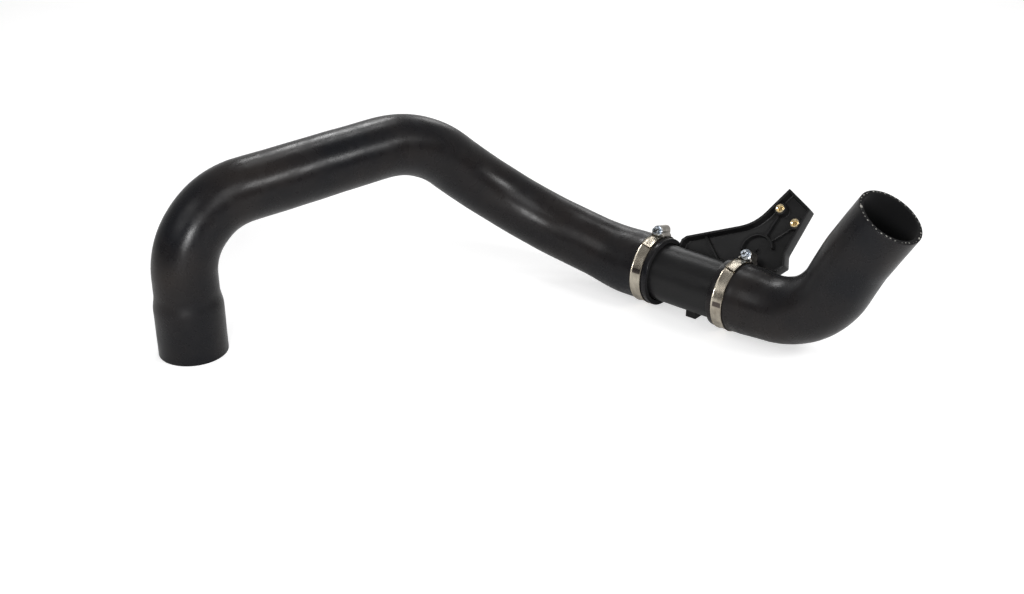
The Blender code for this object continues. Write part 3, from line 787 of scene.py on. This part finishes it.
def tubeShell():
    low = layout["inletEnd"] - connector["spigot"]
    high = layout["outletEnd"] + connector["spigot"]
    middle = [(layout["tubeRadius"], height) for height in np.linspace(low + 14 * mm, high - 14 * mm, 24)]
    outside = spigotProfile(low, 1) + middle + spigotProfile(high, -1)[::-1]
    bore = connector["bore"]
    inside = [(bore, high - 0.4 * mm), (bore, low + 0.4 * mm)]
    return turnedShell(outside + inside, connector["turns"], tubeFrame, closed=True)


def trayCorners():
    left = layout["inletEnd"] + bracket["sideGap"]
    right = layout["outletEnd"] - bracket["sideGap"]
    root = 20 * mm
    corners = [(left, root, 0), (left, bracket["leftShoulder"], 0)]
    corners += [tuple(value * mm for value in bracket[key])
                for key in ("leftTop", "crook", "padTop", "padCorner", "waist", "heel")]
    corners += [(bracket["heelToe"] * mm, bracket["lowerEdge"], 0), (right, bracket["lowerEdge"], 0),
                (right, root, 0)]
    return corners


def trayShell():
    # the tray: a section (inset, depth) carried round the outline, lowered where it has no rim
    steps = 6
    corners = trayCorners()
    back, front, rim = bracket["back"], bracket["front"], bracket["rim"]
    edge, fillet = bracket["rounding"], bracket["fillet"]
    section = np.concatenate([quarterRound(0, back, edge, edge),
                              quarterRound(0, front, edge, -edge, swapped=True),
                              quarterRound(rim, front, -edge, -edge),
                              quarterRound(rim, trayFloor, fillet, fillet, swapped=True)])
    # from the heel's toe round to the root's left corner the tray is open and has no rim
    noRim = 0.02    # share of the rim's height that is left there
    rimShare = np.ones(len(corners) * (steps + 1))
    rimShare[8 * (steps + 1) + steps // 2 + 1:] = noRim
    rimShare[:steps // 2 + 1] = noRim
    rings = []
    for inset, depth in section:
        ring = roundCorners(insetCorners(corners, inset), steps)
        depths = np.where(depth > trayFloor, trayFloor + (depth - trayFloor) * rimShare, depth)
        rings.append(np.column_stack([ring, depths]))
    points = np.array(rings)
    # the root follows the tube's wall: v = sqrt(r² - d²)
    height = points[..., 1]
    rootRadius = (layout["tubeRadius"] + connector["bore"]) / 2
    wallHeight = np.sqrt(rootRadius ** 2 - points[..., 2] ** 2)
    points[..., 1] = np.where(height < rootRadius, np.maximum(height, wallHeight), height)
    return gridShell(placed(points, plateFrame))


def ribShell(start, end, front, width):
    # a rounded bar standing on the tray's floor
    start, end = np.array(start), np.array(end)
    along = unit(end - start)
    length = np.linalg.norm(end - start)
    matrix = onPlate(start) @ Matrix.Rotation(math.atan2(along[1], along[0]), 4, "Z")
    corners = [(0, -width / 2, 0), (0, width / 2, 0), (length, width / 2, 0), (length, -width / 2, 0)]
    return plateShell(corners, trayFloor - 0.8 * mm, front, 0.4 * mm, matrix, steps=2)


def bossShell(centre, top):
    radius, fillet, floor = bracket["bossRadius"], 0.8 * mm, trayFloor
    hole = insert["radius"] + insert["gap"]
    profile = [(hole, top - 0.3 * mm), (hole + 0.3 * mm, top), (radius - 0.5 * mm, top),
               (radius - 0.15 * mm, top - 0.15 * mm), (radius, top - 0.5 * mm),
               (radius + 0.1 * mm, floor + fillet), (radius + 0.35 * fillet, floor + 0.3 * fillet),
               (radius + fillet, floor), (radius + fillet, floor - 0.8 * mm), (hole, floor - 0.8 * mm)]
    return turnedShell(profile, 64, onPlate(centre), closed=True)


def ringShell():
    # ring wall: a rounded section carried along an arc that stays open below
    centre = bracket["ringCentre"]
    outer = bracket["ringRadius"]
    inner = outer - bracket["ringWall"]
    angle = np.radians(np.linspace(bracket["ringFrom"], bracket["ringTo"], 90))
    floor, top = trayFloor, bracket["ringFront"]
    edge = 0.4 * mm
    section = np.array([(outer + 0.5 * mm, floor - 0.5 * mm), (outer + 0.1 * mm, floor + 0.6 * mm),
                        (outer, top - edge), (outer - 0.3 * edge, top - 0.3 * edge), (outer - edge, top),
                        (inner + edge, top), (inner + 0.3 * edge, top - 0.3 * edge), (inner, top - edge),
                        (inner - 0.1 * mm, floor + 0.6 * mm), (inner - 0.5 * mm, floor - 0.5 * mm)])
    x = centre[0] + section[None, :, 0] * np.cos(angle)[:, None]
    v = centre[1] + section[None, :, 0] * np.sin(angle)[:, None]
    points = np.stack([x, v, np.broadcast_to(section[:, 1], x.shape)], -1)
    return gridShell(placed(points, plateFrame))


def cylinderShell(radius, low, high, matrix):
    profile = [(0, high), (radius, high), (radius, low), (0, low)]
    return turnedShell(profile, 48, matrix)


def footShell():
    halfX, halfY = connector["footHalf"]
    top = layout["axisHeight"] - layout["tubeRadius"] + 1.5 * mm
    return plateShell(boxCorners(halfX, halfY, 1 * mm), 0, top, 0.5 * mm, Matrix.Identity(4))


def pipShell():
    # where the mould was filled: a small half ball on the tube beside the elbow
    radius = connector["pipRadius"]
    arc = np.linspace(0, np.pi / 2, 6)
    profile = np.column_stack([radius * np.sin(arc), radius * np.cos(arc)])
    profile = np.concatenate([profile, [(radius, -0.5 * mm), (0, -0.5 * mm)]])
    matrix = (Matrix.Translation((connector["pipPlace"], 0, layout["axisHeight"]))
              @ turned(connector["pipTurn"], "X") @ Matrix.Translation((0, 0, layout["tubeRadius"])))
    return turnedShell(profile, 20, matrix)


def makeConnector():
    tray = shellMesh("tray", [trayShell()])
    holes = []
    for centre in (bracket["upperBoss"], bracket["lowerBoss"]):
        radius = insert["radius"] + insert["gap"]
        holes.append(cylinderShell(radius, bracket["back"] - 1 * mm, 0, onPlate(centre)))
    drain = onPlate(bracket["ringCentre"])
    holes.append(cylinderShell(bracket["drainRadius"], bracket["back"] + bracket["drainLeft"], 0, drain))
    tray = cutMesh(tray, holes)

    floor = trayFloor
    inner = bracket["drainRadius"]
    outer = inner + bracket["drainLip"]
    lip = [(inner, floor + 0.5 * mm), (outer - 0.1 * mm, floor + 0.5 * mm), (outer, floor + 0.4 * mm),
           (outer + 0.1 * mm, floor - 0.3 * mm), (inner, floor - 0.3 * mm)]
    shells = [tubeShell(), ringShell(), footShell(), pipShell(), turnedShell(lip, 48, drain, closed=True)]
    bossTop = bracket["front"] - insert["flangeThickness"] - insert["gap"]
    ringCentre = np.array(bracket["ringCentre"])
    for centre in (bracket["upperBoss"], bracket["lowerBoss"]):
        shells.append(bossShell(centre, bossTop))
        away = unit(np.array(centre) - ringCentre)
        start = np.array(centre) - away * (bracket["bossRadius"] - 1 * mm)
        end = ringCentre + away * (bracket["ringRadius"] - bracket["ringWall"] / 2)
        shells.append(ribShell(start, end, bracket["ribFront"], bracket["ribWidth"]))
    top = np.array(bracket["rootRibTop"])
    slope = math.radians(bracket["rootRibAngle"])
    drop = (top[1] - 25 * mm) / -math.sin(slope)
    foot = top + drop * np.array((math.cos(slope), math.sin(slope)))
    shells.append(ribShell(top, foot, bracket["ribFront"], bracket["ribWidth"]))
    mesh = joinMeshes("connectorPipe", [tray, shellMesh("connectorShells", shells)])
    placePiece("connectorPipe", mesh, "plastic", replaced=["connector_pipe"],
               sharpAngle=40)


def makeInsert(name, node, centre):
    # brass insert: a flange, a knurled barrel and a threaded bore, as one closed section
    top = bracket["front"]
    flangeLow = top - insert["flangeThickness"]
    foot = flangeLow - insert["length"]
    bore, pitch, depth = insert["bore"], insert["threadPitch"], insert["threadDepth"]
    threadRows = np.linspace(foot + 0.6 * mm, top - 0.8 * mm, 80)
    radius, flange = insert["radius"], insert["flange"]
    profile = [(bore + 0.9 * mm, top), (flange - 0.15 * mm, top), (flange, top - 0.15 * mm),
               (flange, flangeLow), (radius, flangeLow), (radius, foot), (bore + 0.5 * mm, foot)]
    profile += [(bore, height) for height in threadRows]

    def ripple(angle, height, reach):
        # knurl outside, helix inside: half the depth · sin(2π h / pitch - angle)
        thread = 0.5 * depth * (1 + np.sin(2 * np.pi * height / pitch - angle))
        knurl = 0.12 * mm * np.abs(np.sin(20 * angle)) * np.ones_like(height)
        return (np.where(np.isclose(reach, bore), -thread + depth / 2, 0)
                + np.where(np.isclose(reach, radius), knurl, 0))

    shell = turnedShell(profile, 80, onPlate(centre), ripple=ripple, closed=True)
    placePiece(name, shellMesh(name, [shell]), "brass", replaced=[node])


makeConnector()
makeInsert("upperInsert", "insert_upper", bracket["upperBoss"])
makeInsert("lowerInsert", "insert_lower", bracket["lowerBoss"])
print("connector and inserts made")


# Clamps

clampBand = {
    "width": 12 * mm,
    "thickness": 0.45 * mm,
    "inner": 34.15 * mm,
    "curlRise": 0.75 * mm,        # how far the rolled edges stand up
    "curlReach": 1.2 * mm,
    "lift": 1.1 * mm,             # from the first turn to the tail
    "start": -10,                 # degrees from the housing
    "rampFrom": 300,
    "rampTo": 345,
    "slant": 5.0,                 # degrees between the two corners of the cut end
    "tailLift": 0.9 * mm,         # the end stands off the turn below
    "tailReach": 14,              # degrees
    "rowSpacing": 0.6,            # degrees
    "threadPitch": 1.8 * mm,
    "threadDepth": 0.16 * mm,
    "threadHalf": 3.4 * mm,
    "threadLean": 0.10,
    "markHalf": (4.2, 4.6 * mm),  # degrees along the strip, and across it
}
clampHousing = {
    "length": 15 * mm,
    "sheet": 0.9 * mm,
    "side": 6.3 * mm,
    "space": 4.4 * mm,
    "shoulder": 36.8 * mm,
    "spring": 39.0 * mm,
    "foot": 34.5 * mm,
    "footLow": 35.9 * mm,
    "tabFrom": -0.5 * mm,
    "tabTo": 6.2 * mm,
}
clampScrew = {
    "core": 3.4 * mm,
    "threadDepth": 0.9 * mm,
    "threadPitch": 1.9 * mm,
    "flange": 5.3 * mm,
    "flangeThickness": 1.0 * mm,
    "gap": 0.3 * mm,
    "flats": 7.0 * mm,
    "hexHeight": 5.0 * mm,
    "slotWidth": 1.4 * mm,
    "slotDepth": 2.2 * mm,
    "crossLength": 4.4 * mm,
    "slotTurn": 35,
    "shadeFillDepth": 0.6 * mm,       # from the head's top down to the painted shade in the slots
    "shadeFillLength": 3.1 * mm,
}
clamps = {
    "inlet": {"x": layout["inletEnd"] - layout["clampSetback"], "lean": 15, "tail": 45, "mark": 89,
              "body": "inlet_screw"},
    "outlet": {"x": layout["outletEnd"] + layout["clampSetback"], "lean": 33, "tail": 57, "mark": 118,
               "body": "outlet_screw"},
}


# along the screw: the flange's inner face and the top of the head
headLow = clampHousing["length"] / 2 + clampScrew["gap"]
headTop = headLow + clampScrew["flangeThickness"] + clampScrew["hexHeight"]


def clampFrame(clamp):
    place = Matrix.Translation((clamp["x"], 0, layout["axisHeight"]))
    return place @ turned(-clamp["lean"], "X")


def bandShell(clamp):
    # strip section (across, height) carried along a spiral: y = -r sin a, z = r cos a
    spec = clampBand
    half = spec["width"] / 2
    across = np.linspace(-half, half, 41)
    curl = np.clip((np.abs(across) - half + spec["curlReach"]) / spec["curlReach"], 0, 1) ** 2
    curl = spec["curlRise"] * curl
    thickness = spec["thickness"]
    x = np.concatenate([across, across[::-1]])
    height = np.concatenate([curl + thickness, curl[::-1]])
    top = np.concatenate([np.ones(len(across)), np.zeros(len(across))])
    last = 360 + clamp["tail"]
    count = int((last - spec["start"]) / spec["rowSpacing"])
    share = np.linspace(0, 1, count)[:, None]
    skew = spec["slant"] * (x[None] / spec["width"] - 0.5)
    angle = spec["start"] + (last - spec["start"]) * share + skew * ease((share - 0.93) / 0.07)
    ramp = ease((angle - spec["rampFrom"]) / (spec["rampTo"] - spec["rampFrom"]))
    tail = np.clip((angle - last) / spec["tailReach"] + 1, 0, 1) ** 2
    radius = spec["inner"] + spec["lift"] * ramp + spec["tailLift"] * tail + height[None]
    along = np.radians(angle) * (spec["inner"] + spec["lift"])
    phase = 2 * np.pi * (along + spec["threadLean"] * x[None]) / spec["threadPitch"]
    groove = np.clip(1.6 * np.sin(phase), 0, 1)
    reach = (ease((angle - spec["rampTo"] + 12) / 4) * ease((last - 4 - angle) / 3)
             * ease((spec["threadHalf"] - np.abs(x[None])) / (0.6 * mm)))
    radius = radius - spec["threadDepth"] * groove * reach * top[None]
    turn = np.radians(angle)
    points = np.stack([np.broadcast_to(x, radius.shape), -radius * np.sin(turn), radius * np.cos(turn)], -1)
    markLong, markWide = spec["markHalf"]
    mark = (ease((markLong - np.abs(angle - clamp["mark"])) / 1.2 + 0.5)
            * ease((markWide - np.abs(x[None])) / (0.6 * mm) + 0.5) * top[None])
    return gridShell(placed(points, clampFrame(clamp)), fields={"along": along, "mark": mark})


def housingShell(clamp):
    # arch section carried along the screw, its legs short except at the tab
    spec = clampHousing
    sheet = spec["sheet"]
    rise = layout["screwRadius"]
    arch = np.linspace(0, np.pi, 25)
    y = np.concatenate([[-spec["length"] / 2], np.linspace(-spec["length"] / 2 + 0.15 * mm,
                       spec["length"] / 2 - 0.15 * mm, 70), [spec["length"] / 2]])
    tab = ease((y - spec["tabFrom"]) / (1.2 * mm)) * ease((spec["tabTo"] - y) / (1.2 * mm))
    foot = spec["footLow"] + (spec["foot"] - spec["footLow"]) * tab
    edge = np.zeros(len(y))
    edge[[0, -1]] = 0.15 * mm

    def half(extra):
        # from the right foot over the arch to the left foot, at an offset from the sheet's inside
        radius = spec["space"] + extra[:, None]
        side = spec["side"] + extra[:, None]
        archX = radius * np.cos(arch)
        archZ = rise + radius * np.sin(arch)
        legX = np.concatenate([side, side, side, side - 0.3 * mm, radius + 0.2 * mm, radius], 1)
        shoulder = spec["shoulder"] + 0.4 * extra[:, None]
        ones = np.ones_like(side)
        legZ = np.concatenate([foot[:, None], (foot[:, None] + shoulder) / 2, shoulder - 0.3 * mm * ones,
                               shoulder * ones + 0.3 * mm, spec["spring"] - 0.3 * mm * ones,
                               spec["spring"] * ones + 0.2 * mm], 1)
        sectionX = np.concatenate([legX, archX, -legX[:, ::-1]], 1)
        sectionZ = np.concatenate([legZ, archZ, legZ[:, ::-1]], 1)
        return sectionX, sectionZ

    outerX, outerZ = half(sheet - edge)
    innerX, innerZ = half(edge)
    x = np.concatenate([outerX, innerX[:, ::-1]], 1)
    z = np.concatenate([outerZ, innerZ[:, ::-1]], 1)
    points = np.stack([x, np.broadcast_to(y[:, None], x.shape), z], -1)
    return gridShell(placed(points, clampFrame(clamp)))


def screwFrame(clamp):
    return clampFrame(clamp) @ Matrix.Translation((0, 0, layout["screwRadius"])) @ turned(90, "X")


def wormShell(clamp):
    # worm: r = core + depth · (0.5 + 0.5 sin(2π h / pitch - angle)), tapering off at both ends
    half = clampHousing["length"] / 2
    height = np.linspace(half - 0.5 * mm, -half, 150)
    profile = np.column_stack([np.full(len(height), clampScrew["core"]), height])
    profile = np.concatenate([[(0, half)], [(clampScrew["core"], half)], profile, [(0, -half)]])

    def ripple(angle, level, radius):
        taper = ease((level + half) / (1.5 * mm)) * ease((half - level) / (1.5 * mm))
        wave = np.clip(0.5 + 0.9 * np.sin(2 * np.pi * level / clampScrew["threadPitch"] - angle), 0, 1)
        return np.where(radius > 0, clampScrew["threadDepth"] * wave * taper, 0)

    return turnedShell(profile, 40, screwFrame(clamp), ripple=ripple)


def flangeShell(clamp):
    low, high = headLow, headLow + clampScrew["flangeThickness"]
    radius = clampScrew["flange"]
    profile = [(0, high + 0.3 * mm), (0.6 * radius, high + 0.3 * mm), (radius - 0.3 * mm, high - 0.05 * mm),
               (radius - 0.08 * mm, high - 0.2 * mm), (radius, low + 0.4 * mm),
               (radius - 0.1 * mm, low + 0.1 * mm), (radius - 0.3 * mm, low), (0, low)]
    return turnedShell(profile, 64, screwFrame(clamp))


def hexShell(clamp):
    # hexagon with a chamfered crown: r = min(flats / 2 / cos(angle to the nearest flat), crown circle)
    crownLow = headTop - 0.9 * mm
    height = np.concatenate([[headTop] * 2, np.linspace(headTop, crownLow, 7)[1:], [headLow + 0.5 * mm]])
    half = clampScrew["flats"] / 2
    crown = half * 0.93 + 0.9 * (headTop - height)
    crown[0] = 0

    def ripple(angle, level, radius):
        toFlat = np.abs((angle + np.pi / 6) % (np.pi / 3) - np.pi / 6)
        flat = half * np.minimum(1 / np.cos(toFlat), 1.125)
        return np.minimum(flat - radius, 0)

    return turnedShell(np.column_stack([crown, height]), 96, screwFrame(clamp), ripple=ripple)


def slotShells(clamp, shadeFill=False):
    # the cut across the whole head and the short one across it, or the dark fill in them that paints their
    # shade
    low = headTop - clampScrew["slotDepth"]
    high = headTop - clampScrew["shadeFillDepth"] if shadeFill else headTop + 1 * mm
    half = clampScrew["slotWidth"] / 2 - (0.02 * mm if shadeFill else 0)
    whole = clampScrew["shadeFillLength"] if shadeFill else clampScrew["flats"]
    short = clampScrew["crossLength"] / 2 - (0.02 * mm if shadeFill else 0)
    shells = []
    for length, depth, turn in ((whole, low, 0), (short, low - 0.3 * mm, 90)):
        matrix = screwFrame(clamp) @ turned(clampScrew["slotTurn"] + turn, "Z")
        shells.append(plateShell(boxCorners(length, half), depth, high, 0.1 * mm, matrix, steps=2))
    return shells


def makeClamp(name, clamp):
    band = shellMesh(name + "Band", [bandShell(clamp)])
    placePiece(name + "Band", band, "band", replaced=[name + "_clamp_band"])
    housing = shellMesh(name + "Housing", [housingShell(clamp)])
    placePiece(name + "Housing", housing, "sheet", replaced=[name + "_clamp_housing"])
    head = shellMesh(name + "Head", [hexShell(clamp)])
    for cutter in slotShells(clamp):
        head = cutMesh(head, [cutter])
    shaft = shellMesh(name + "Shaft", [wormShell(clamp), flangeShell(clamp)])
    screw = joinMeshes(name + "Screw", [head, shaft])
    placePiece(name + "Screw", screw, "zinc", body=clamp["body"],
               replaced=[name + "_clamp_screw"], sharpAngle=30)
    # the dark fill in the slots is painted shade
    shadeFill = shellMesh(name + "SlotShadeFill", slotShells(clamp, shadeFill=True))
    placePiece(name + "SlotShadeFill", shadeFill, "slotShade", body=clamp["body"])


for clampName, clampSpec in clamps.items():
    makeClamp(clampName, clampSpec)
print("clamps made")


# Floor, light and camera

studio = {
    "floorHalf": 3.0,
    "floorShade": 0.70,
    "glowMirrored": 0.10,         # share of the glow that reflections show
    "floorGlow": 0.54,            # added for the camera, so that the floor shows white
    "skyHigh": 0.26,
    "skyBack": 0.65,              # at the horizon, on the side that skyTurn looks to
    "skyFront": 0.09,
    "skyTurn": (-0.57, 0.82, 0.0),
    "aim": (-0.07, -0.15, 0.08),
}
lamps = {
    "right": {"size": 0.4, "power": 11, "place": (1.44, 0.14, 1.2)},
    "backLeft": {"size": 0.4, "power": 6.0, "place": (-1.27, 0.78, 1.22)},
    "behind": {"size": 0.5, "power": 1.8, "place": (-0.93, 1.40, 0.76)},
    "overBack": {"size": 0.4, "power": 2.6, "place": (-0.69, 0.64, 1.69)},
    "left": {"size": 0.9, "power": 5.0, "place": (-0.41, -1.61, 1.25)},
    "front": {"size": 0.4, "power": 20, "place": (0.87, -1.72, 0.6)},
    "rightFront": {"size": 0.9, "power": 7.0, "place": (1.14, -0.74, 1.42)},
}
cameraView = {
    "place": (0.6634, -1.0661, 0.6393),
    "look": (-0.58044, 0.68131, -0.44599),
    "roll": -0.263,               # degrees
    "lens": 48.377,
    "sensor": 36.0,
}


def makeFloor():
    # one flat sheet under the pipe
    half = studio["floorHalf"]
    mesh = bpy.data.meshes.new("floor")
    mesh.from_pydata([(x, y, 0) for x, y, radius in boxCorners(half, half)], [], [(3, 2, 1, 0)])
    shade = (studio["floorShade"],) * 3
    material, tree, shader, place = newFinish("floorPaper", shade, 0.9)
    grain = remap(tree, noise(tree, place, 120, 3), 0, 1, 0, 0.05)
    rays = addNode(tree, "ShaderNodeLightPath").outputs
    mirrored = combine(tree, "MULTIPLY", rays["Is Glossy Ray"], studio["glowMirrored"])
    seen = combine(tree, "MAXIMUM", rays["Is Camera Ray"], mirrored)
    seen = combine(tree, "MAXIMUM", seen, rays["Is Transmission Ray"])
    feed(tree, shader, {"Base Color": mixColour(tree, grain, shade, (1.0, 1.0, 1.0)),
                        "Emission Color": (1, 1, 1, 1),
                        "Emission Strength": combine(tree, "MULTIPLY", seen, studio["floorGlow"])})
    mesh.materials.append(material)
    addObject("floor", mesh)


def makeSky():
    # white for the camera; for light and reflections it is palest at the horizon behind the pipe
    world = bpy.data.worlds.new("studioSky")
    world.use_nodes = True
    tree = world.node_tree
    direction = addNode(tree, "ShaderNodeTexCoord").outputs["Generated"]
    height = addNode(tree, "ShaderNodeSeparateXYZ", {"Vector": direction}).outputs["Z"]
    inputs = {0: direction, 1: studio["skyTurn"]}
    turn = addNode(tree, "ShaderNodeVectorMath", inputs, operation="DOT_PRODUCT").outputs["Value"]
    horizon = remap(tree, turn, 0, 0.8, studio["skyFront"], studio["skyBack"])
    light = remap(tree, height, 0, 0.55, horizon, studio["skyHigh"])
    rays = addNode(tree, "ShaderNodeLightPath").outputs
    seen = combine(tree, "MAXIMUM", rays["Is Camera Ray"], rays["Is Transmission Ray"])
    strength = addNode(tree, "ShaderNodeMix", {0: seen, 2: light, 3: 1.0}).outputs[0]
    feed(tree, tree.nodes["Background"], {"Color": (1, 1, 1, 1), "Strength": strength})
    bpy.context.scene.world = world


def makeLamp(name, size, power, place):
    lamp = bpy.data.lights.new(name, "AREA")
    lamp.shape = "SQUARE"
    lamp.size = size
    lamp.energy = power
    obj = addObject(name, lamp)
    obj.location = place
    obj.rotation_euler = (Vector(studio["aim"]) - Vector(place)).to_track_quat("-Z", "Y").to_euler()


def makeCamera():
    data = bpy.data.cameras.new("photoCamera")
    data.lens = cameraView["lens"]
    data.sensor_width = cameraView["sensor"]
    data.sensor_fit = "HORIZONTAL"
    data.clip_start = 0.01
    data.clip_end = 50
    camera = addObject("photoCamera", data)
    aim = Vector(cameraView["look"]).to_track_quat("-Z", "Y").to_matrix().to_4x4()
    camera.matrix_world = Matrix.Translation(cameraView["place"]) @ aim @ turned(cameraView["roll"], "Z")
    bpy.context.scene.camera = camera


makeFloor()
makeSky()
for lampName, lamp in lamps.items():
    makeLamp(lampName, lamp["size"], lamp["power"], lamp["place"])
makeCamera()
bpy.context.scene.view_settings.view_transform = "Standard"
print("studio made")
